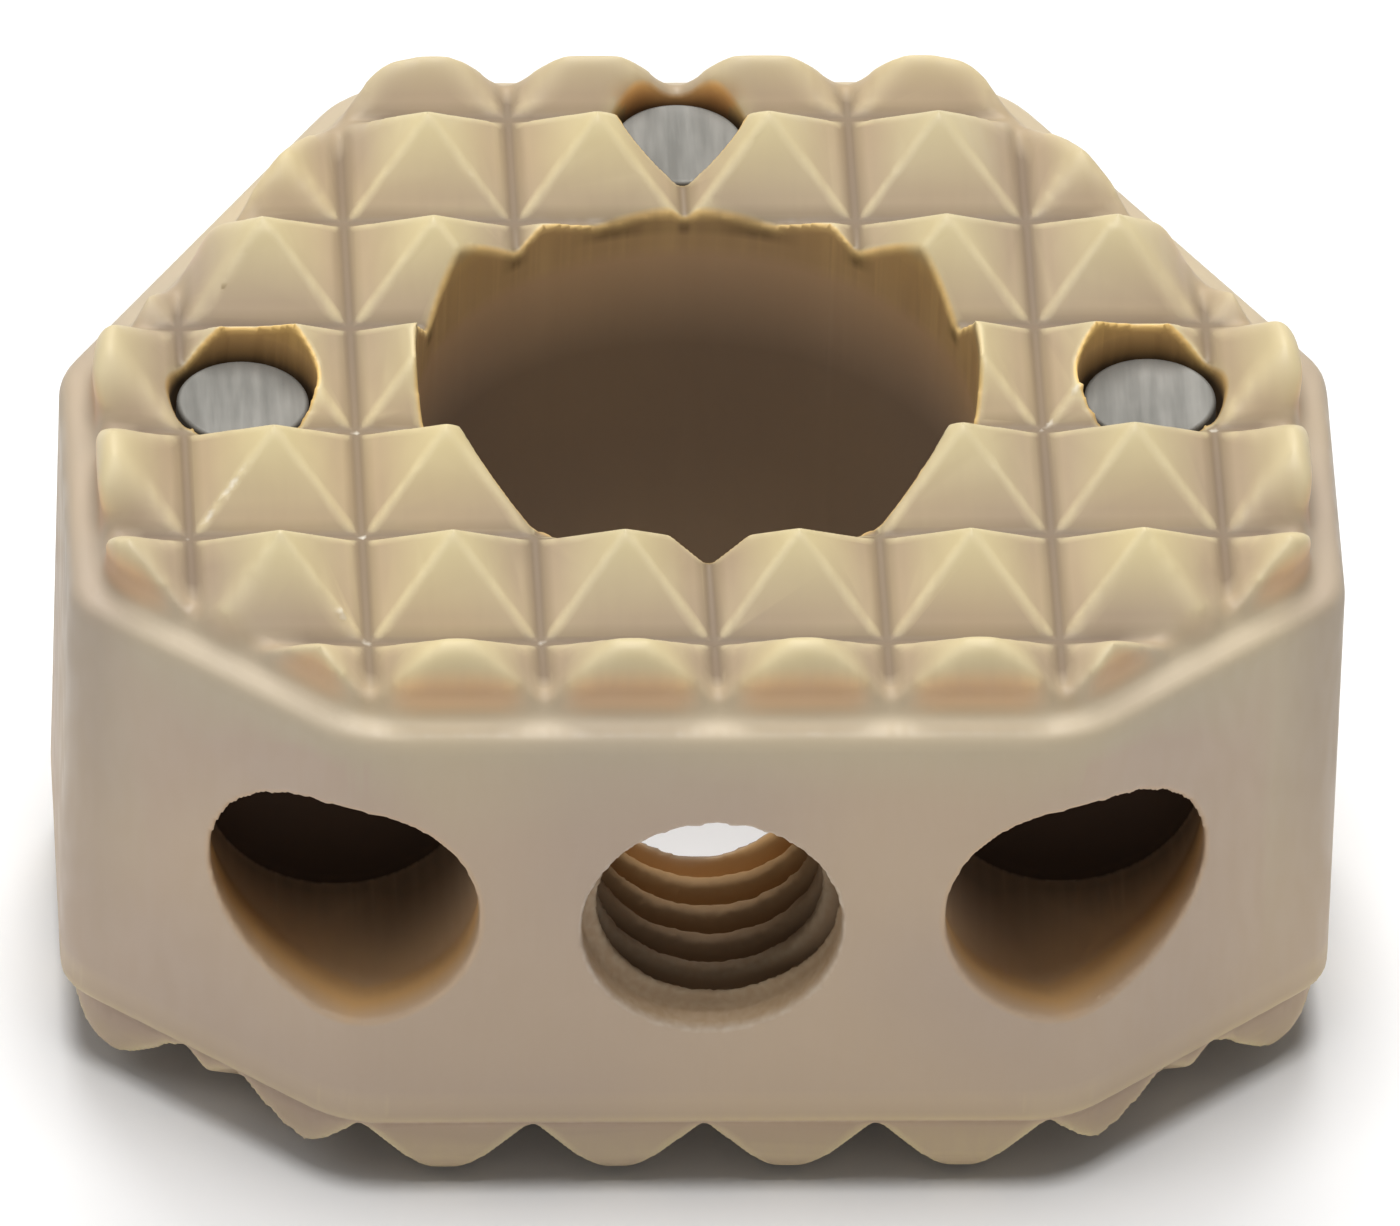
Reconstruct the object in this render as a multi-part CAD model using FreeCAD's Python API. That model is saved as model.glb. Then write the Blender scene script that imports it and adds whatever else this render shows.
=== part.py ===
import FreeCAD, Part
import math
import os

# Spinal interbody cage: one machined polymer body with a pyramid-toothed bed on its top and
# bottom, a round graft window through it, a threaded inserter hole between two blind sockets
# in its front wall, and three metal marker pins pressed into its height.
# Frame: millimetres, +Z up, the front wall faces -Y. The origin is the centre of the
# footprint, on the plane of the lower tooth tips.

# Footprint, between the outer walls
width = 14.0
depth = 12.0
front_face_width = 8.0
front_chamfer_depth = 2.5
rear_face_width = 7.2
rear_chamfer_depth = 5.3
corner_radius = 1.35
side_corner_radius = 0.8

# Height over the tooth tips, and the eased edges of the plain wall between the beds
height = 7.42
upper_edge_radius = 0.15
lower_edge_radius = 0.05

# Ledge that runs round each bed, and how far the groove floors stand proud of it
upper_ledge = 0.38
lower_ledge = 0.11
upper_rise = 0.18
lower_rise = 0.08
upper_foot_radius = 0.13
lower_foot_radius = 0.04

# Teeth: square pyramids between two crossing sets of V grooves
tooth_pitch = 1.89
tooth_height = 0.9
row_offset = 0.16
upper_shoulder_radius = 0.85
lower_shoulder_radius = 0.6

# Graft window
window_diameter = 6.2

# Threaded inserter hole, at the thread's core, with its plain mouth
thread_core_diameter = 2.5
thread_mouth_diameter = 2.85
thread_mouth_depth = 0.45

# Blind sockets on the two front corners
socket_diameter = 3.0
socket_depth = 2.6

# Lift of the front holes above the middle of the wall
thread_lift = 0.06
socket_lift = 0.18

# Marker pins, in holes that open wider at both ends
marker_diameter = 1.48
marker_clearance = 0.01
marker_mouth_diameter = 1.62
marker_mouth_depth = 0.5
marker_recess = 0.02
marker_end_chamfer = 0.04
side_marker_inset = 2.0
side_marker_offset = -0.12
rear_marker_inset = 1.46

# Overrun of a cutter past the face it opens, and of a blank past the tooth tips
overrun = 1.0
blank_allowance = 0.02
tolerance = 1e-6
middle_tolerance = 1e-4

# Levels
lower_floor = tooth_height
lower_wall_end = lower_floor + lower_rise
upper_floor = height - tooth_height
upper_wall_end = upper_floor - upper_rise
wall_middle = (lower_wall_end + upper_wall_end) / 2
thread_level = wall_middle + thread_lift
socket_level = wall_middle + socket_lift

# Places
front_y = -depth / 2
rear_y = depth / 2
socket_x = front_face_width / 2
side_marker_x = width / 2 - side_marker_inset
side_marker_y = side_marker_offset
rear_marker_y = rear_y - rear_marker_inset

Y_AXIS = FreeCAD.Vector(0, 1, 0)
Z_AXIS = FreeCAD.Vector(0, 0, 1)


def outline_points():
    """Corners of the footprint, anticlockwise from the front left one."""
    front_x = front_face_width / 2
    side_x = width / 2
    rear_x = rear_face_width / 2
    side_front_y = front_y + front_chamfer_depth
    side_rear_y = rear_y - rear_chamfer_depth
    return [
        (-front_x, front_y),
        (front_x, front_y),
        (side_x, side_front_y),
        (side_x, side_rear_y),
        (rear_x, rear_y),
        (-rear_x, rear_y),
        (-side_x, side_rear_y),
        (-side_x, side_front_y),
    ]


def inset(points, distance):
    """The same convex outline with every side moved inwards."""
    moved = []
    for index, (x, y) in enumerate(points):
        last_x, last_y = points[index - 1]
        next_x, next_y = points[(index + 1) % len(points)]
        before = FreeCAD.Vector(x - last_x, y - last_y, 0).normalize()
        after = FreeCAD.Vector(next_x - x, next_y - y, 0).normalize()
        inward = FreeCAD.Vector(-before.y - after.y, before.x + after.x, 0)
        inward.multiply(distance / (1 + before.dot(after)))
        moved.append((x + inward.x, y + inward.y))
    return moved


def upright_edges(solid):
    """The straight vertical edges of a prism."""
    edges = []
    for edge in solid.Edges:
        along = edge.lastVertex().Point - edge.firstVertex().Point
        if abs(along.x) + abs(along.y) < tolerance and abs(along.z) > tolerance:
            edges.append(edge)
    return edges


def edges_at_level(solid, level):
    """The edges that lie flat at one height."""
    edges = []
    for edge in solid.Edges:
        box = edge.BoundBox
        if abs(box.ZMin - level) < tolerance and abs(box.ZMax - level) < tolerance:
            edges.append(edge)
    return edges


def matching_edges(solid, pattern):
    """The edges of a solid that have the same middle as an edge of the pattern."""
    return [
        edge for edge in solid.Edges
        if any(edge.CenterOfMass.distanceToPoint(other.CenterOfMass) < middle_tolerance for other in pattern)
    ]


def footprint_prism(distance, low, high, end_radius, side_radius):
    """The footprint moved in by a distance, between two heights.

    One radius rounds the corners of the front and rear faces, the other those of the sides.
    """
    corners = [FreeCAD.Vector(x, y, low) for x, y in inset(outline_points(), distance)]
    face = Part.Face(Part.makePolygon(corners + [corners[0]]))
    prism = face.extrude(FreeCAD.Vector(0, 0, high - low))
    side_x = width / 2 - distance
    edges = upright_edges(prism)
    side_edges = [edge for edge in edges if abs(edge.CenterOfMass.x) > side_x - tolerance]
    end_edges = [edge for edge in edges if abs(edge.CenterOfMass.x) <= side_x - tolerance]
    prism = prism.makeFillet(end_radius, end_edges)
    return prism.makeFillet(side_radius, matching_edges(prism, side_edges))


def wall_block():
    """The plain wall, with its upper and lower outer edges eased."""
    block = footprint_prism(
        0, lower_wall_end, upper_wall_end, corner_radius, side_corner_radius)
    block = block.makeFillet(upper_edge_radius, edges_at_level(block, upper_wall_end))
    return block.makeFillet(lower_edge_radius, edges_at_level(block, lower_wall_end))


def bed_blank(ledge, start, end, shoulder_radius):
    """The blank of one bed, from the wall to its outer end, where a shoulder rounds it off."""
    radius = corner_radius - ledge
    blank = footprint_prism(ledge, min(start, end), max(start, end), radius, radius)
    foot = edges_at_level(blank, start)
    return blank.makeFillet(shoulder_radius, edges_at_level(blank, end)), foot


def toothless_body():
    """Wall and both blanks, with a small radius at the foot of each blank."""
    upper_end = height + blank_allowance
    upper_blank, upper_foot = bed_blank(
        upper_ledge, upper_wall_end, upper_end, upper_shoulder_radius)
    lower_blank, lower_foot = bed_blank(
        lower_ledge, lower_wall_end, -blank_allowance, lower_shoulder_radius)
    body = wall_block().fuse([upper_blank, lower_blank]).removeSplitter()
    body = body.makeFillet(upper_foot_radius, matching_edges(body, upper_foot))
    return body.makeFillet(lower_foot_radius, matching_edges(body, lower_foot))


def ridge_profile(half_length, groove, base, floor):
    """Closed saw-tooth outline with a groove at one place: pairs of place and height."""
    count = math.ceil((half_length + abs(groove)) / tooth_pitch) + 1
    line = []
    for index in range(-count, count + 1):
        line.append((index * tooth_pitch + groove, floor))
        line.append(((index + 0.5) * tooth_pitch + groove, floor + tooth_height))
    return [(line[0][0], base)] + line + [(line[-1][0], base)]


def ridges(length_axis, half_length, half_reach, groove, base, floor):
    """A block of parallel V-grooved ridges that run along one axis of the footprint."""
    profile = ridge_profile(half_length, groove, base, floor)
    if length_axis == "y":
        corners = [FreeCAD.Vector(place, -half_reach, height) for place, height in profile]
        sweep = FreeCAD.Vector(0, 2 * half_reach, 0)
    else:
        corners = [FreeCAD.Vector(-half_reach, place, height) for place, height in profile]
        sweep = FreeCAD.Vector(2 * half_reach, 0, 0)
    return Part.Face(Part.makePolygon(corners + [corners[0]])).extrude(sweep)


def teeth_up(shift):
    """The two crossing sets of ridges that shape the upper bed, one above the other's axis.

    A groove runs down the middle from front to back, and a row of peaks crosses it at the shift.
    """
    reach = max(width, depth)
    along = ridges("y", width / 2, reach, 0, -overrun, upper_floor)
    across = ridges("x", depth / 2, reach, shift + tooth_pitch / 2, -overrun, upper_floor)
    return along.common(across)


def teeth_down(shift):
    """The same teeth the other way up, with their groove floors at the lower level."""
    block = teeth_up(shift).mirror(FreeCAD.Vector(0, 0, 0), Z_AXIS)
    block.translate(FreeCAD.Vector(0, 0, upper_floor + lower_floor))
    return block


def upright_cylinder(diameter, x, y, low, high):
    return Part.makeCylinder(diameter / 2, high - low, FreeCAD.Vector(x, y, low), Z_AXIS)


def front_cylinder(diameter, x, level, start_y, end_y):
    """A cylinder along Y that opens in the front wall."""
    start = FreeCAD.Vector(x, start_y, level)
    return Part.makeCylinder(diameter / 2, end_y - start_y, start, Y_AXIS)


def marker_hole(x, y):
    """A through hole for one pin, with a wider mouth under both groove floors."""
    hole = upright_cylinder(
        marker_diameter, x, y, -overrun, height + overrun)
    upper_mouth = upright_cylinder(
        marker_mouth_diameter, x, y, upper_floor - marker_mouth_depth, height + overrun)
    lower_mouth = upright_cylinder(
        marker_mouth_diameter, x, y, -overrun, lower_floor + marker_mouth_depth)
    return hole.fuse([upper_mouth, lower_mouth])


def inserter_hole():
    """The hole from the front wall into the window, at the thread's core, and its mouth."""
    start_y = front_y - overrun
    core = front_cylinder(thread_core_diameter, 0, thread_level, start_y, 0)
    mouth = front_cylinder(
        thread_mouth_diameter, 0, thread_level, start_y, front_y + thread_mouth_depth)
    return core.fuse(mouth)


def sockets():
    """Two blind sockets, one centred on each front corner."""
    start_y = front_y - overrun
    end_y = front_y + socket_depth
    return [
        front_cylinder(socket_diameter, x, socket_level, start_y, end_y)
        for x in (-socket_x, socket_x)
    ]


def marker_places():
    """Name and place of each marker pin."""
    return {
        "marker_pin_left": (-side_marker_x, side_marker_y),
        "marker_pin_right": (side_marker_x, side_marker_y),
        "marker_pin_rear": (0, rear_marker_y),
    }


def cage_body():
    """The machined body: the outer shape, its teeth, then everything bored into it."""
    body = toothless_body().common(teeth_up(row_offset)).common(teeth_down(-row_offset))
    window = upright_cylinder(window_diameter, 0, 0, -overrun, height + overrun)
    holes = [marker_hole(x, y) for x, y in marker_places().values()]
    return body.cut([window, inserter_hole()] + sockets() + holes)


def marker_pin(x, y):
    """A round pin that stops short of both groove floors, with chamfered ends."""
    low = lower_floor + marker_recess
    high = upper_floor - marker_recess
    pin = upright_cylinder(marker_diameter - 2 * marker_clearance, x, y, low, high)
    ends = edges_at_level(pin, low) + edges_at_level(pin, high)
    return pin.makeChamfer(marker_end_chamfer, ends)


def single_solid(shape):
    """The one solid that a shape must consist of."""
    if len(shape.Solids) != 1:
        raise ValueError("expected one solid, found %d" % len(shape.Solids))
    return shape.Solids[0]


os.makedirs("parts", exist_ok=True)
pieces = {"cage_body": cage_body()}
for name, (pin_x, pin_y) in marker_places().items():
    pieces[name] = marker_pin(pin_x, pin_y)
for name, shape in pieces.items():
    solid = single_solid(shape)
    solid.exportStep("parts/" + name + ".step")
    print(name, "volume %.3f mm3" % solid.Volume, "valid", solid.isValid())
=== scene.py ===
import math

import bmesh
import bpy
from mathutils import Euler, Matrix, Vector, noise


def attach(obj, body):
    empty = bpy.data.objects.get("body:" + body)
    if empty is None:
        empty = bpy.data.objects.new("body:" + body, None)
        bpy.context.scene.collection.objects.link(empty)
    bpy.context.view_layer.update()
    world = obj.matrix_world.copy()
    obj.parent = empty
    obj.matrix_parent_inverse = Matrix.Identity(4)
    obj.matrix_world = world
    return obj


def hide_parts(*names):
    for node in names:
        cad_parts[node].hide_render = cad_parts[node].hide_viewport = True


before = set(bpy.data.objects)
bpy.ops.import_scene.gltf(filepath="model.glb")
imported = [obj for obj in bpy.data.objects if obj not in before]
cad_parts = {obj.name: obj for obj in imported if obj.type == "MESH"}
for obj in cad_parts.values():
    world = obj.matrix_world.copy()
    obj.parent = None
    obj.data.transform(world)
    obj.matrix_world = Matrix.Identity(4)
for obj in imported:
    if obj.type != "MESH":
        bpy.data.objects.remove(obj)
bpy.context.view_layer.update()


# Toothed body
# The one block of natural PEEK that the cage is milled from, with its two beds of pyramid teeth.
# It is worked here in millimetres: the solid's mesh is joined up, threaded, and then softened
# at its outer edges by a few tenths, as tumbling and handling leave a milled polymer.

def millimetre_copy(node, name):
    """A copy of a node of the frame, in millimetres, with its loose triangles joined."""
    copied = bpy.data.objects.new(name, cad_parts[node].data.copy())
    bpy.context.scene.collection.objects.link(copied)
    bm = bmesh.new()
    bm.from_mesh(copied.data)
    bmesh.ops.scale(bm, verts=bm.verts, vec=(1000, 1000, 1000))
    bmesh.ops.remove_doubles(bm, verts=bm.verts, dist=0.0005)
    bm.to_mesh(copied.data)
    bm.free()
    return copied


def finish_modifiers(piece):
    """Makes a piece's modifiers part of its mesh."""
    graph = bpy.context.evaluated_depsgraph_get()
    made = bpy.data.meshes.new_from_object(piece.evaluated_get(graph))
    piece.modifiers.clear()
    piece.data = made


body = millimetre_copy("cage_body", "toothed_body")

# Inserter thread
# An M3 x 0.5 thread tapped from the front wall through to the graft window. The tap is one
# groove profile screwed along the hole, and it is cut out of the body.

thread_pitch = 0.5
thread_core = 1.25
thread_root = 1.53
thread_level = 3.72
thread_start = -5.54
thread_turns = 6.5
thread_first_angle = 0.3
tap_overlap = 0.08
tap_half_widths = {"core": 0.2, "root": 0.05}
tap_steps = 48

tap = bmesh.new()
profile = [
    tap.verts.new((
        out * math.sin(thread_first_angle), thread_start + along,
        thread_level + out * math.cos(thread_first_angle)))
    for out, along in (
        (thread_core - tap_overlap, -tap_half_widths["core"]),
        (thread_root, -tap_half_widths["root"]),
        (thread_root, tap_half_widths["root"]),
        (thread_core - tap_overlap, tap_half_widths["core"]))
]
profile_face = tap.faces.new(profile)
bmesh.ops.spin(
    tap, geom=profile + list(profile_face.edges) + [profile_face],
    cent=(0, 0, thread_level), axis=(0, 1, 0),
    dvec=(0, thread_pitch / tap_steps, 0), angle=math.tau * thread_turns,
    steps=int(tap_steps * thread_turns), use_duplicate=False)
bmesh.ops.recalc_face_normals(tap, faces=tap.faces)
tap_mesh = bpy.data.meshes.new("thread_tap")
tap.to_mesh(tap_mesh)
tap.free()
tap_tool = bpy.data.objects.new("thread_tap", tap_mesh)
bpy.context.scene.collection.objects.link(tap_tool)

cut = body.modifiers.new("thread", "BOOLEAN")
cut.operation = "DIFFERENCE"
cut.solver = "EXACT"
cut.object = tap_tool
finish_modifiers(body)
bpy.data.objects.remove(tap_tool)

# Softening
# The body is recast as a fine even skin, and the skin is relaxed. The grooves stay as sharp as
# the cutter left them, and the rim of the upper bed is rubbed down the most.

skin_cell = 0.048
skin = body.modifiers.new("skin", "REMESH")
skin.mode = "VOXEL"
skin.voxel_size = skin_cell
finish_modifiers(body)

# The outline as seen from above, its front wall at -y, with a slanting chamfer at each corner
half_width = 7
half_depth = 6
front_flat = 4
front_run, front_rise = 3, 2.5
front_slant = math.hypot(front_rise, front_run)
rear_shoulder = 0.7
rear_run, rear_rise = 3.4, 5.3
rear_slant = math.hypot(rear_rise, rear_run)


def rim_distance(place):
    """How far a point lies inside the outline of the footprint, in millimetres."""
    across = abs(place.x)
    front_corner = (
        (front_flat - across) * front_rise + (place.y + half_depth) * front_run) / front_slant
    rear_corner = (
        (half_width - across) * rear_rise + (rear_shoulder - place.y) * rear_run) / rear_slant
    return min(
        half_width - across, place.y + half_depth, half_depth - place.y, front_corner, rear_corner)


def ease(value):
    """A smooth step from 0 to 1."""
    value = max(0, min(1, value))
    return value * value * (3 - 2 * value)


def smooth(bm, verts, factor):
    """Moves some points towards the middle of their neighbours."""
    bmesh.ops.smooth_vert(
        bm, verts=verts, factor=factor, use_axis_x=True, use_axis_y=True, use_axis_z=True)


def relax(bm, verts, steps, filling):
    """Relaxes the skin at some points. Filling is the share of the rise in hollows that stays."""
    start = [(v, v.co.copy(), v.normal.copy()) for v in verts]
    for step in range(steps):
        smooth(bm, verts, 0.5)
    for v, place, normal in start:
        rise = (v.co - place).dot(normal)
        if rise > 0:
            v.co -= normal * (rise * (1 - filling))
    bm.normal_update()


bm = bmesh.new()
bm.from_mesh(body.data)
bm.normal_update()
relax(bm, bm.verts[:], 2, 0.25)

# The outer teeth stand a little fuller than their cut outline, most of all those at the sides,
# and are then rubbed round in three passes that reach less and less far in.
swell_out, swell_side, swell_up = 0.07, 0.06, 0.07
swell_level = 6.6
swell_width = 0.95
for v in bm.verts:
    if v.co.z > swell_level:
        inside = min(half_width - abs(v.co.x), v.co.y + half_depth)
        swell = ease((v.co.z - swell_level) / 0.3) * ease((swell_width - inside) / 0.4)
        swell *= ease((1.2 - v.co.y) / 1.5)
        outward = Vector((v.co.x, v.co.y, 0)).normalized()
        side = ease((abs(v.co.x) - 5.6) / 0.8)
        v.co += (
            outward * ((swell_out + swell_side * side) * swell)
            + Vector((0, 0, swell_up * swell)))
for reach, steps in ((1.3, 8), (1.1, 10), (0.92, 14)):
    rim_verts = [v for v in bm.verts if v.co.z > 6.42 and 0.2 < rim_distance(v.co) < reach]
    relax(bm, rim_verts, steps, 0.2)
ledge_verts = [v for v in bm.verts if 6.15 < v.co.z < 6.75 and rim_distance(v.co) < 0.62]
relax(bm, ledge_verts, 16, 1)

# The sockets' mouths are burnished inwards by a few hundredths.
socket_x, socket_level, socket_radius = 4, 3.84, 1.5
burnish = 0.05
burnish_reach = 2.1
for v in bm.verts:
    arm = Vector((v.co.x - math.copysign(socket_x, v.co.x), 0, v.co.z - socket_level))
    if v.co.y < -2.9 and rim_distance(v.co) < 0.8 and 0.5 < arm.length < burnish_reach:
        grip = ease((burnish_reach - arm.length) / 0.5) * ease((0.8 - rim_distance(v.co)) / 0.4)
        v.co -= arm.normalized() * (burnish * grip)
relax(bm, bm.verts[:], 1, 0.5)

# The slivers of two teeth that the window leaves beside a groove crossing have broken away.
upper_floor = 6.52
window_radius = 3.1
for v in bm.verts:
    if (v.co.z > upper_floor and 1.2 < abs(v.co.x) < 1.87 and -2.66 < v.co.y < -2
            and math.hypot(v.co.x, v.co.y) < window_radius + 0.3):
        v.co.z = upper_floor


def store_relief(bm, name, steps):
    """Stores how far each point stands proud of its surroundings, in millimetres."""
    layer = bm.verts.layers.float.new(name)
    start = [(v.co.copy(), v.normal.copy()) for v in bm.verts]
    for step in range(steps):
        smooth(bm, bm.verts, 0.5)
    for v, (place, normal) in zip(bm.verts, start):
        v[layer] = (place - v.co).dot(normal)
        v.co = place


# Marks for the material: torn polymer, the upright flanks of the outer teeth (painted warm glow),
# the rim of the upper bed (painted light against its shade), and the gaps where the grooves run
# out over that rim (painted shade).
marks = ("torn", "flank", "rim", "gap")
for name in marks:
    bm.verts.layers.float.new(name)
store_relief(bm, "fine_relief", 9)
store_relief(bm, "broad_relief", 70)
torn, flank, rim, gap = (bm.verts.layers.float[name] for name in marks)

tooth_pitch = 1.89
groove_shift = 0.785


def groove_offsets(place):
    """How far a point lies to the side of the nearest groove of either set, in millimetres."""
    shifted_y = place.y + groove_shift
    return (
        place.x - tooth_pitch * round(place.x / tooth_pitch),
        shifted_y - tooth_pitch * round(shifted_y / tooth_pitch))


for v in bm.verts:
    if v.co.z > 6:
        v[rim] = ease((0.78 - rim_distance(v.co)) / 0.2) * ease((6.75 - v.co.z) / 0.2)
        nearest_groove = min(abs(offset) for offset in groove_offsets(v.co))
        v[gap] = v[rim] * ease(1.2 - nearest_groove / 0.3) * ease(
            (rim_distance(v.co) - 0.3) / 0.2)
    if v.co.z > 6.36 and rim_distance(v.co) < 0.9:
        v[flank] = ease((0.75 - v.normal.z) / 0.5) * ease((7.1 - v.co.z) / 0.35)

# Torn polymer: on some ridges, at some groove crossings and on the thread, the cutter has left
# a fine pale fuzz. Each torn ridge is a line from a crossing part of the way up a tooth, and a
# torn crossing is a patch that is squeezed along one diagonal.
torn_ridges = (
    ((-5.67, -2.675), (-5.05, -2.055)), ((3.78, -0.785), (4.4, -0.165)),
    ((-3.78, -4.565), (-4.1, -4.245)))
ridge_width = 0.045
crossing_level = 6.53
crossing_width = 0.1
crossing_squeeze = 1.9
torn_share = 0.16


def line_distance(place, line):
    """How far a point lies from a line, seen from above, in millimetres."""
    (start_x, start_y), (end_x, end_y) = line
    run = Vector((end_x - start_x, end_y - start_y))
    offset = Vector((place.x - start_x, place.y - start_y))
    share = max(0, min(1, offset.dot(run) / run.length_squared))
    return (offset - run * share).length


for v in bm.verts:
    bore_radius = math.hypot(v.co.x, v.co.z - thread_level)
    if v.co.z > 6.4 and v.co.y < -0.1:
        ridge_distance = min(line_distance(v.co, line) for line in torn_ridges)
        ridge = ease(1.2 - ridge_distance / ridge_width)
        ridge *= ease(noise.noise(v.co * 6) * 2 + 0.45)
        node_x, node_y = groove_offsets(v.co)
        crossing_distance = math.hypot(
            (node_x - node_y) * crossing_squeeze, node_x + node_y, v.co.z - crossing_level)
        node = ease(1.15 - crossing_distance / crossing_width)
        crossing = Vector((
            round(v.co.x / tooth_pitch), round((v.co.y + groove_shift) / tooth_pitch), 0.5))
        node *= ease((noise.noise(crossing * 0.73) - torn_share) * 6)
        node *= ease((math.hypot(v.co.x, v.co.y) - 3.5) / 0.2)
        v[torn] = max(0.7 * ridge, node) * (0.35 + 0.65 * ease(noise.noise(v.co * 16) + 0.5))
        v.co += v.normal * (
            0.06 * ridge * noise.noise(v.co * 11)
            + 0.09 * node * max(0, noise.noise(v.co * 11)))
    elif v.co.y < -2.4 and bore_radius < 1.62:
        crest = ease((1.42 - bore_radius) / 0.14)
        mouth = ease((-5.45 - v.co.y) / 0.1) * ease((1.5 - bore_radius) / 0.06)
        v[torn] = max(0.4 * crest * ease((-4.2 - v.co.y) / 1.2), 0.3 * mouth) * (
            0.5 + 0.5 * ease(noise.noise(v.co * 14) + 0.5))
        v.co += v.normal * (
            (0.014 * noise.noise(v.co * 8) + 0.018 * noise.noise(v.co * 19))
            * max(crest, 0.6 * mouth) * ease((-3.1 - v.co.y) / 0.8))
bm.to_mesh(body.data)
bm.free()

# The skin is all quads, each of which counts as two triangles.
most_triangles = 186000
thin = body.modifiers.new("thin", "DECIMATE")
thin.ratio = min(1, most_triangles / (2 * len(body.data.polygons)))
finish_modifiers(body)

# The thinning can fold a point of the upper bed over, and such points are smoothed flat again.
bm = bmesh.new()
bm.from_mesh(body.data)
for repeat in range(4):
    bm.normal_update()
    folded = [
        v for v in bm.verts
        if v.co.z > 6.2 and min(face.normal.dot(v.normal) for face in v.link_faces) < 0.25]
    smooth(bm, folded, 0.7)
bm.to_mesh(body.data)
bm.free()
body.data.transform(Matrix.Scale(0.001, 4))
for face in body.data.polygons:
    face.use_smooth = True

# Natural PEEK
# A warm pale tan polymer with a satin skin, duller in the hollows. Worn edges are paler and
# yellower, partly from wear and partly as painted glow; tooth tips carry a painted highlight,
# hollows and grooves painted shade, and the cutter has left faint slanting lines.

satin = 0.44
# Painted shade for the hollows.
hollow_shade_tan = (0.36, 0.275, 0.205, 1)
face_tan = (0.55, 0.425, 0.27, 1)
# Painted highlight for the tooth tips.
tip_highlight_yellow = (0.72, 0.61, 0.335, 1)
# Worn edges, with painted glow.
worn_edge_glow_yellow = (0.71, 0.605, 0.37, 1)
# Painted shade in creases.
crease_shade_brown = (0.25, 0.175, 0.12, 1)
# Painted light for the rim of the upper bed.
rim_light_tan = (0.55, 0.455, 0.32, 1)
side_rim_light_tan = (0.47, 0.38, 0.28, 1)
torn_white = (0.84, 0.8, 0.72, 1)

# These tints multiply the colour that they lie on.
# Painted light on the walls.
wall_light_tint = (1.19, 1.19, 1.3, 1)
# Painted shade in the grooves.
groove_side_shade_tint = (0.7, 0.7, 0.65, 1)
groove_floor_shade_tint = (0.54, 0.53, 0.48, 1)
# Painted shade in the gaps at the groove ends.
gap_shade_tint = (0.82, 0.76, 0.7, 1)
# Painted warm glow on the flanks.
flank_glow_tint = (1.3, 1.06, 0.88, 1)
glow_tint = (1.3, 1.04, 0.62, 1)
shade_tint = (0.065, 0.05, 0.045, 1)
# Painted shade on the lower bed.
lower_bed_shade_tint = (0.9, 0.87, 0.84, 1)
cool_tint = (0.95, 0.95, 0.97, 1)
warm_tint = (1.04, 1.03, 0.98, 1)

peek = bpy.data.materials.new("natural_peek")
peek.use_nodes = True
nodes = peek.node_tree.nodes
links = peek.node_tree.links
shader = nodes["Principled BSDF"]
shader.inputs["IOR"].default_value = 1.55
shader.inputs["Specular IOR Level"].default_value = 0.35


def read_attribute(nodes, name):
    """The factor output of a node that reads a stored value of the mesh."""
    reader = nodes.new("ShaderNodeAttribute")
    reader.attribute_name = name
    return reader.outputs["Fac"]


def map_range(nodes, links, source, low, high, start=0.0, end=1.0):
    """Stretches a value from one range to another, clamped."""
    stretch = nodes.new("ShaderNodeMapRange")
    stretch.inputs["From Min"].default_value = low
    stretch.inputs["From Max"].default_value = high
    stretch.inputs["To Min"].default_value = start
    stretch.inputs["To Max"].default_value = end
    links.new(source, stretch.inputs["Value"])
    return stretch.outputs["Result"]


def noise_texture(nodes, links, place, scale, detail):
    """A noise value at the points given by a vector output."""
    texture = nodes.new("ShaderNodeTexNoise")
    texture.inputs["Scale"].default_value = scale
    texture.inputs["Detail"].default_value = detail
    links.new(place, texture.inputs["Vector"])
    return texture.outputs["Fac"]


def combine(nodes, links, operation, first, *others):
    """Arithmetic on an output and, one after the other, further outputs or numbers."""
    result = first
    for other in others:
        step = nodes.new("ShaderNodeMath")
        step.operation = operation
        links.new(result, step.inputs[0])
        if isinstance(other, (int, float)):
            step.inputs[1].default_value = other
        else:
            links.new(other, step.inputs[1])
        result = step.outputs["Value"]
    return result


def mix_colours(nodes, links, share, first, second, blend="MIX"):
    """Mixes two colours, each an output or a plain colour. MULTIPLY lays a tint on the first."""
    mixer = nodes.new("ShaderNodeMix")
    mixer.data_type = "RGBA"
    mixer.blend_type = blend
    if isinstance(share, (int, float)):
        mixer.inputs["Factor"].default_value = share
    else:
        links.new(share, mixer.inputs["Factor"])
    for name, colour in (("A", first), ("B", second)):
        socket = [s for s in mixer.inputs if s.name == name and s.type == "RGBA"][0]
        if isinstance(colour, tuple):
            socket.default_value = colour
        else:
            links.new(colour, socket)
    return [s for s in mixer.outputs if s.type == "RGBA"][0]


def object_coordinates(nodes):
    """The output that gives places on the object."""
    return nodes.new("ShaderNodeTexCoord").outputs["Object"]


def distance_between(nodes, links, first, second):
    """The length of a pair of offsets."""
    squares = [combine(nodes, links, "MULTIPLY", offset, offset) for offset in (first, second)]
    return combine(nodes, links, "SQRT", combine(nodes, links, "ADD", *squares), 0)


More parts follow.
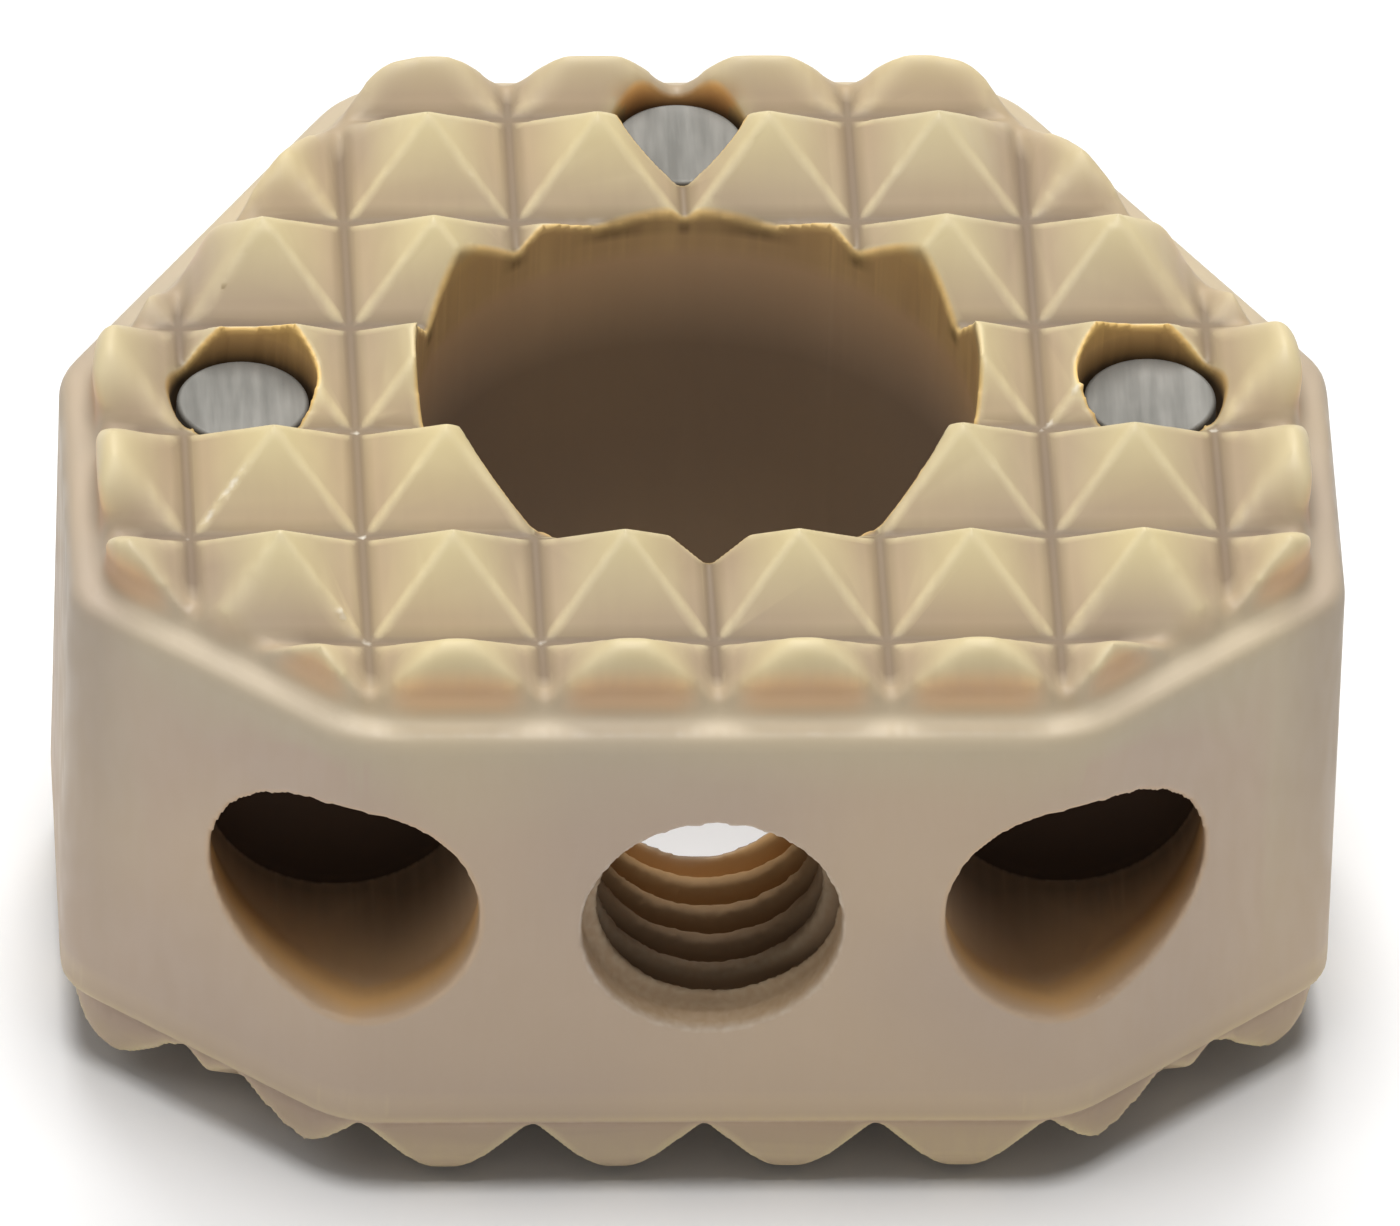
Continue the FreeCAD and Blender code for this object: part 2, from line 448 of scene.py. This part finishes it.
place = object_coordinates(nodes)
splitter = nodes.new("ShaderNodeSeparateXYZ")
links.new(place, splitter.inputs["Vector"])
x, y, z = (
    combine(nodes, links, "MULTIPLY", splitter.outputs[axis], 1000.0) for axis in "XYZ")
across = combine(nodes, links, "ABSOLUTE", x, 0)
cloud = noise_texture(nodes, links, place, 420, 0)
slant = nodes.new("ShaderNodeMapping")
slant.inputs["Rotation"].default_value = (0, 0, math.radians(38))
slant.inputs["Scale"].default_value = (9000, 2200, 2200)
links.new(place, slant.inputs["Vector"])
speck = noise_texture(nodes, links, slant.outputs["Vector"], 1, 0)

# How deep a point lies behind the front wall or the front chamfers, and behind any wall
behind_front = combine(nodes, links, "ADD", y, half_depth)
behind_chamfer = combine(
    nodes, links, "ADD",
    combine(
        nodes, links, "MULTIPLY", combine(nodes, links, "SUBTRACT", across, front_flat),
        -front_rise / front_slant),
    combine(nodes, links, "MULTIPLY", behind_front, front_run / front_slant))
depth = combine(nodes, links, "MINIMUM", behind_front, behind_chamfer)
past_side = combine(nodes, links, "SUBTRACT", across, half_width)
behind_rear_chamfer = combine(
    nodes, links, "ADD", combine(nodes, links, "MULTIPLY", past_side, -rear_rise / rear_slant),
    combine(
        nodes, links, "MULTIPLY", combine(nodes, links, "SUBTRACT", y, rear_shoulder),
        -rear_run / rear_slant))
past_rear = combine(nodes, links, "SUBTRACT", y, half_depth)
inset = combine(
    nodes, links, "MINIMUM", depth, behind_rear_chamfer,
    combine(nodes, links, "MULTIPLY", past_side, -1.0),
    combine(nodes, links, "MULTIPLY", past_rear, -1.0))

# The walls of the sockets, the window, the pin holes and the threaded hole. Each mask fades out
# between two radii close to the wall.
side_pin_x, side_pin_y, rear_pin_y = 5, -0.12, 4.54
pin_hole_fade = (0.87, 0.83)
from_window = distance_between(nodes, links, x, y)
in_socket = combine(
    nodes, links, "MULTIPLY",
    map_range(
        nodes, links, distance_between(
            nodes, links, combine(nodes, links, "SUBTRACT", across, socket_x),
            combine(nodes, links, "SUBTRACT", z, socket_level)),
        socket_radius + 0.03, socket_radius - 0.02),
    map_range(nodes, links, y, -3.1, -3.2))
in_window = combine(
    nodes, links, "MULTIPLY",
    map_range(nodes, links, from_window, window_radius + 0.07, window_radius + 0.02),
    map_range(nodes, links, z, 7.2, 6.9))
in_pin_hole = combine(
    nodes, links, "MAXIMUM",
    map_range(
        nodes, links, distance_between(
            nodes, links, combine(nodes, links, "SUBTRACT", across, side_pin_x),
            combine(nodes, links, "SUBTRACT", y, side_pin_y)),
        *pin_hole_fade),
    map_range(
        nodes, links, distance_between(
            nodes, links, x, combine(nodes, links, "SUBTRACT", y, rear_pin_y)),
        *pin_hole_fade))
in_bore = combine(
    nodes, links, "MULTIPLY",
    map_range(
        nodes, links, distance_between(
            nodes, links, x, combine(nodes, links, "SUBTRACT", z, thread_level)),
        thread_root + 0.07, thread_root + 0.03),
    map_range(nodes, links, y, -5.98, -5.85), map_range(nodes, links, y, -2.3, -2.5),
    map_range(nodes, links, from_window, window_radius + 0.02, window_radius + 0.1))

# The relief counts on the two beds and not on the plain walls.
off_wall = combine(
    nodes, links, "MAXIMUM", map_range(nodes, links, z, 6.0, 6.15),
    map_range(nodes, links, z, 1.45, 1.3))
fine = combine(nodes, links, "MULTIPLY", read_attribute(nodes, "fine_relief"), off_wall)
broad = combine(nodes, links, "MULTIPLY", read_attribute(nodes, "broad_relief"), off_wall)
# Painted shade and light: the hollows darker and greyer, the raised parts lighter.
relief_light_share = map_range(nodes, links, broad, -0.12, 0.12)
colour = mix_colours(nodes, links, relief_light_share, hollow_shade_tan, face_tan)
# Painted highlight: the tooth tips paler and yellower.
colour = mix_colours(
    nodes, links, map_range(nodes, links, z, 6.75, 7.3, 0, 0.85), colour, tip_highlight_yellow)
# Painted light: the walls below the upper bed lighter and bluer.
colour = mix_colours(
    nodes, links, map_range(nodes, links, z, 6.2, 6.0), colour, wall_light_tint, "MULTIPLY")

# Painted shade: the grooves are darker towards their floors. A ping-pong of half a tooth pitch
# gives the distance from the nearest groove.
half_pitch = tooth_pitch / 2
beside_groove = combine(
    nodes, links, "MINIMUM", combine(nodes, links, "PINGPONG", x, half_pitch),
    combine(nodes, links, "PINGPONG", combine(nodes, links, "ADD", y, groove_shift), half_pitch))
groove_shade_share = combine(
    nodes, links, "MULTIPLY", map_range(nodes, links, beside_groove, 0.18, 0.04),
    map_range(nodes, links, z, 6.3, 6.4))
groove_shade_tint = mix_colours(
    nodes, links, map_range(nodes, links, beside_groove, 0.08, 0.03), groove_side_shade_tint,
    groove_floor_shade_tint)
colour = mix_colours(nodes, links, groove_shade_share, colour, groove_shade_tint, "MULTIPLY")

# Worn edges that also carry painted glow, painted shade in hollow lines, painted light on the rim,
# painted shade in the gaps in it, painted warm glow on upright flanks, and torn polymer
# Worn edges, paler and yellower partly from wear and partly as painted glow.
worn_edge_glow_share = combine(
    nodes, links, "MULTIPLY", map_range(nodes, links, fine, 0.0, 0.018, 0, 0.9),
    map_range(nodes, links, speck, 0.3, 0.6, 0.7, 1))
colour = mix_colours(nodes, links, worn_edge_glow_share, colour, worn_edge_glow_yellow)
# Painted shade in the hollow lines.
crease_shade_share = combine(
    nodes, links, "MAXIMUM", map_range(nodes, links, fine, -0.001, -0.02, 0, 0.6),
    map_range(nodes, links, broad, -0.01, -0.09, 0, 0.6))
colour = mix_colours(nodes, links, crease_shade_share, colour, crease_shade_brown)
# Painted light on the rim, against the shade at its foot.
rim_light_colour = mix_colours(
    nodes, links, map_range(nodes, links, across, 6.2, 6.7), rim_light_tan, side_rim_light_tan)
colour = mix_colours(nodes, links, read_attribute(nodes, "rim"), colour, rim_light_colour)
# Painted shade in the gaps where the grooves run out over the rim.
colour = mix_colours(nodes, links, read_attribute(nodes, "gap"), colour, gap_shade_tint, "MULTIPLY")
# Painted warm glow on the upright flanks.
colour = mix_colours(nodes, links, read_attribute(nodes, "flank"), colour, flank_glow_tint, "MULTIPLY")
colour = mix_colours(
    nodes, links, map_range(nodes, links, read_attribute(nodes, "torn"), 0.1, 0.8, 0, 0.85),
    colour, torn_white)

# Light that seeps through the polymer makes the walls of the holes brown.
glow = combine(
    nodes, links, "MAXIMUM", in_pin_hole,
    combine(
        nodes, links, "MULTIPLY", in_socket, map_range(nodes, links, depth, 1.5, 0.4, 0.3, 1),
        map_range(nodes, links, depth, 0.05, 0.35, 0.2, 1)),
    combine(
        nodes, links, "MULTIPLY", in_window, map_range(nodes, links, z, 5.0, 6.6, 0.3, 0.8)),
    combine(
        nodes, links, "MULTIPLY", in_bore, map_range(nodes, links, y, -4.8, -3.4, 0.4, 1)))
colour = mix_colours(nodes, links, glow, colour, glow_tint, "MULTIPLY")

# Shade, by place on the piece: far into the sockets, low in the window, around the pins, in
# the middle of the threaded hole, and between the lower teeth.
shade = combine(
    nodes, links, "MAXIMUM",
    combine(
        nodes, links, "MULTIPLY", in_socket, combine(
            nodes, links, "MAXIMUM", map_range(nodes, links, depth, 0.8, 2.1),
            map_range(nodes, links, y, -4.5, -3.6))),
    combine(nodes, links, "MULTIPLY", in_window, map_range(nodes, links, z, 6.2, 4.8, 0, 0.6)),
    combine(
        nodes, links, "MULTIPLY", in_pin_hole, map_range(nodes, links, z, 6.78, 6.4, 0, 0.85)),
    combine(
        nodes, links, "MULTIPLY", in_bore, map_range(nodes, links, y, -3.0, -4.4, 0.2, 0.6),
        map_range(nodes, links, y, -5.7, -5.35, 0.3, 1)),
    combine(
        nodes, links, "MULTIPLY", map_range(nodes, links, z, 0.98, 0.9),
        map_range(nodes, links, inset, 0.3, 0.9, 0, 0.7)))
colour = mix_colours(nodes, links, shade, colour, shade_tint, "MULTIPLY")
# Painted shade: the lower bed darker.
colour = mix_colours(
    nodes, links, map_range(nodes, links, z, 1.4, 1.0), colour, lower_bed_shade_tint, "MULTIPLY")
cloud_tint = mix_colours(
    nodes, links, map_range(nodes, links, cloud, 0.3, 0.7), cool_tint, warm_tint)
colour = mix_colours(nodes, links, 1.0, colour, cloud_tint, "MULTIPLY")
links.new(colour, shader.inputs["Base Color"])

roughness = combine(
    nodes, links, "MAXIMUM", map_range(nodes, links, speck, 0.3, 0.7, satin, 0.6),
    map_range(nodes, links, broad, 0.0, -0.08, satin, 0.85),
    map_range(nodes, links, shade, 0, 0.5, satin, 0.95))
links.new(roughness, shader.inputs["Roughness"])


def roughen(nodes, links, shader, height, strength):
    """A fine relief of the finish, one hundredth of a millimetre high."""
    bump = nodes.new("ShaderNodeBump")
    bump.inputs["Strength"].default_value = strength
    bump.inputs["Distance"].default_value = 0.00001
    links.new(height, bump.inputs["Height"])
    links.new(bump.outputs["Normal"], shader.inputs["Normal"])


roughen(nodes, links, shader, speck, 0.25)

body.data.materials.clear()
body.data.materials.append(peek)
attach(body, "root")
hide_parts("cage_body")


# Marker pins
# Three metal pins pressed into the body from bed to bed, so that the polymer shows on an X-ray
# picture. Their ends are ground nearly flush with the groove floors, with an eased edge.

pin_dark = (0.195, 0.19, 0.172, 1)
pin_light = (0.245, 0.237, 0.215, 1)
pin_metal = bpy.data.materials.new("ground_pin_metal")
pin_metal.use_nodes = True
nodes = pin_metal.node_tree.nodes
links = pin_metal.node_tree.links
shader = nodes["Principled BSDF"]
shader.inputs["Metallic"].default_value = 0.6
place = object_coordinates(nodes)
streak = nodes.new("ShaderNodeMapping")
streak.inputs["Scale"].default_value = (7000, 700, 700)
links.new(place, streak.inputs["Vector"])
streaks = noise_texture(nodes, links, streak.outputs["Vector"], 1, 3)
smear = noise_texture(nodes, links, place, 1500, 2)
streak_share = map_range(
    nodes, links, combine(nodes, links, "ADD", streaks, smear), 0.75, 1.25)
links.new(
    mix_colours(nodes, links, streak_share, pin_dark, pin_light), shader.inputs["Base Color"])
links.new(map_range(nodes, links, streaks, 0.3, 0.7, 0.7, 0.55), shader.inputs["Roughness"])
roughen(nodes, links, shader, streaks, 0.35)

pin_radius = 0.00073
pin_low = 0.00092
pin_high = 0.0065
pin_eased_edge = 0.00005
for side, pin_x, pin_y in (
        ("left", -side_pin_x, side_pin_y), ("right", side_pin_x, side_pin_y),
        ("rear", 0, rear_pin_y)):
    pin_mesh = bpy.data.meshes.new("ground_pin_" + side)
    bm = bmesh.new()
    bmesh.ops.create_cone(
        bm, cap_ends=True, segments=96, radius1=pin_radius, radius2=pin_radius,
        depth=pin_high - pin_low,
        matrix=Matrix.Translation((pin_x / 1000, pin_y / 1000, (pin_low + pin_high) / 2)))
    end_edges = [edge for edge in bm.edges if edge.verts[0].co.z == edge.verts[1].co.z]
    bmesh.ops.bevel(
        bm, geom=end_edges, offset=pin_eased_edge, segments=4, profile=0.5, affect="EDGES",
        material=-1)
    for face in bm.faces:
        face.smooth = abs(face.normal.z) < 0.999
    bm.to_mesh(pin_mesh)
    bm.free()
    pin = bpy.data.objects.new("ground_pin_" + side, pin_mesh)
    bpy.context.scene.collection.objects.link(pin)
    pin_mesh.materials.append(pin_metal)
    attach(pin, "root")
    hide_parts("marker_pin_" + side)


# Table
# A plain white table top, on which the cage stands on its lower tooth tips.

table = bpy.data.objects.new("table", bpy.data.meshes.new("table"))
bpy.context.scene.collection.objects.link(table)
bm = bmesh.new()
bmesh.ops.create_grid(bm, x_segments=1, y_segments=1, size=0.5)
bm.to_mesh(table.data)
bm.free()
table_white = bpy.data.materials.new("white_table")
table_white.use_nodes = True
shader = table_white.node_tree.nodes["Principled BSDF"]
shader.inputs["Roughness"].default_value = 0.9
shader.inputs["Base Color"].default_value = (0.9, 0.9, 0.9, 1)
table.data.materials.append(table_white)


# Studio light and camera
# Soft lamps above the table, a pale room, and a long macro lens at the photograph's angle.

lamp_size = 0.2
lamp_distance = 0.35
lamp_aim = Vector((0, 0, 0.004))


def softbox(name, watts, azimuth, elevation):
    """A round soft lamp that looks at the cage from a direction in degrees."""
    lamp = bpy.data.lights.new(name, "AREA")
    lamp.shape = "DISK"
    lamp.size = lamp_size
    lamp.energy = watts
    lamp_object = bpy.data.objects.new(name, lamp)
    bpy.context.scene.collection.objects.link(lamp_object)
    turn = Euler((math.radians(90 - elevation), 0, math.radians(azimuth + 90)))
    lamp_object.rotation_euler = turn
    lamp_object.location = lamp_aim + turn.to_matrix() @ Vector((0, 0, lamp_distance))


softbox("overhead", 0.94, -90, 88)
softbox("back_high", 0.67, 90, 55)
softbox("left_fill", 0.1, 180, 45)
softbox("front_low", 0.07, -90, 15)

world = bpy.data.worlds.new("room")
bpy.context.scene.world = world
world.use_nodes = True
room = world.node_tree.nodes["Background"]
room.inputs["Color"].default_value = (1, 1, 1, 1)
room.inputs["Strength"].default_value = 0.138

camera = bpy.data.cameras.new("camera")
camera.sensor_width = 36
camera.lens = 992.1
camera.clip_start = 0.01
camera_object = bpy.data.objects.new("camera", camera)
bpy.context.scene.collection.objects.link(camera_object)
camera_object.location = (-0.0216523, -0.3362881, 0.2650819)
camera_object.rotation_euler = Euler(
    (math.radians(52.1537), math.radians(-1.6389), math.radians(-2.43297)))
bpy.context.scene.camera = camera_object
bpy.context.scene.view_settings.view_transform = "Standard"
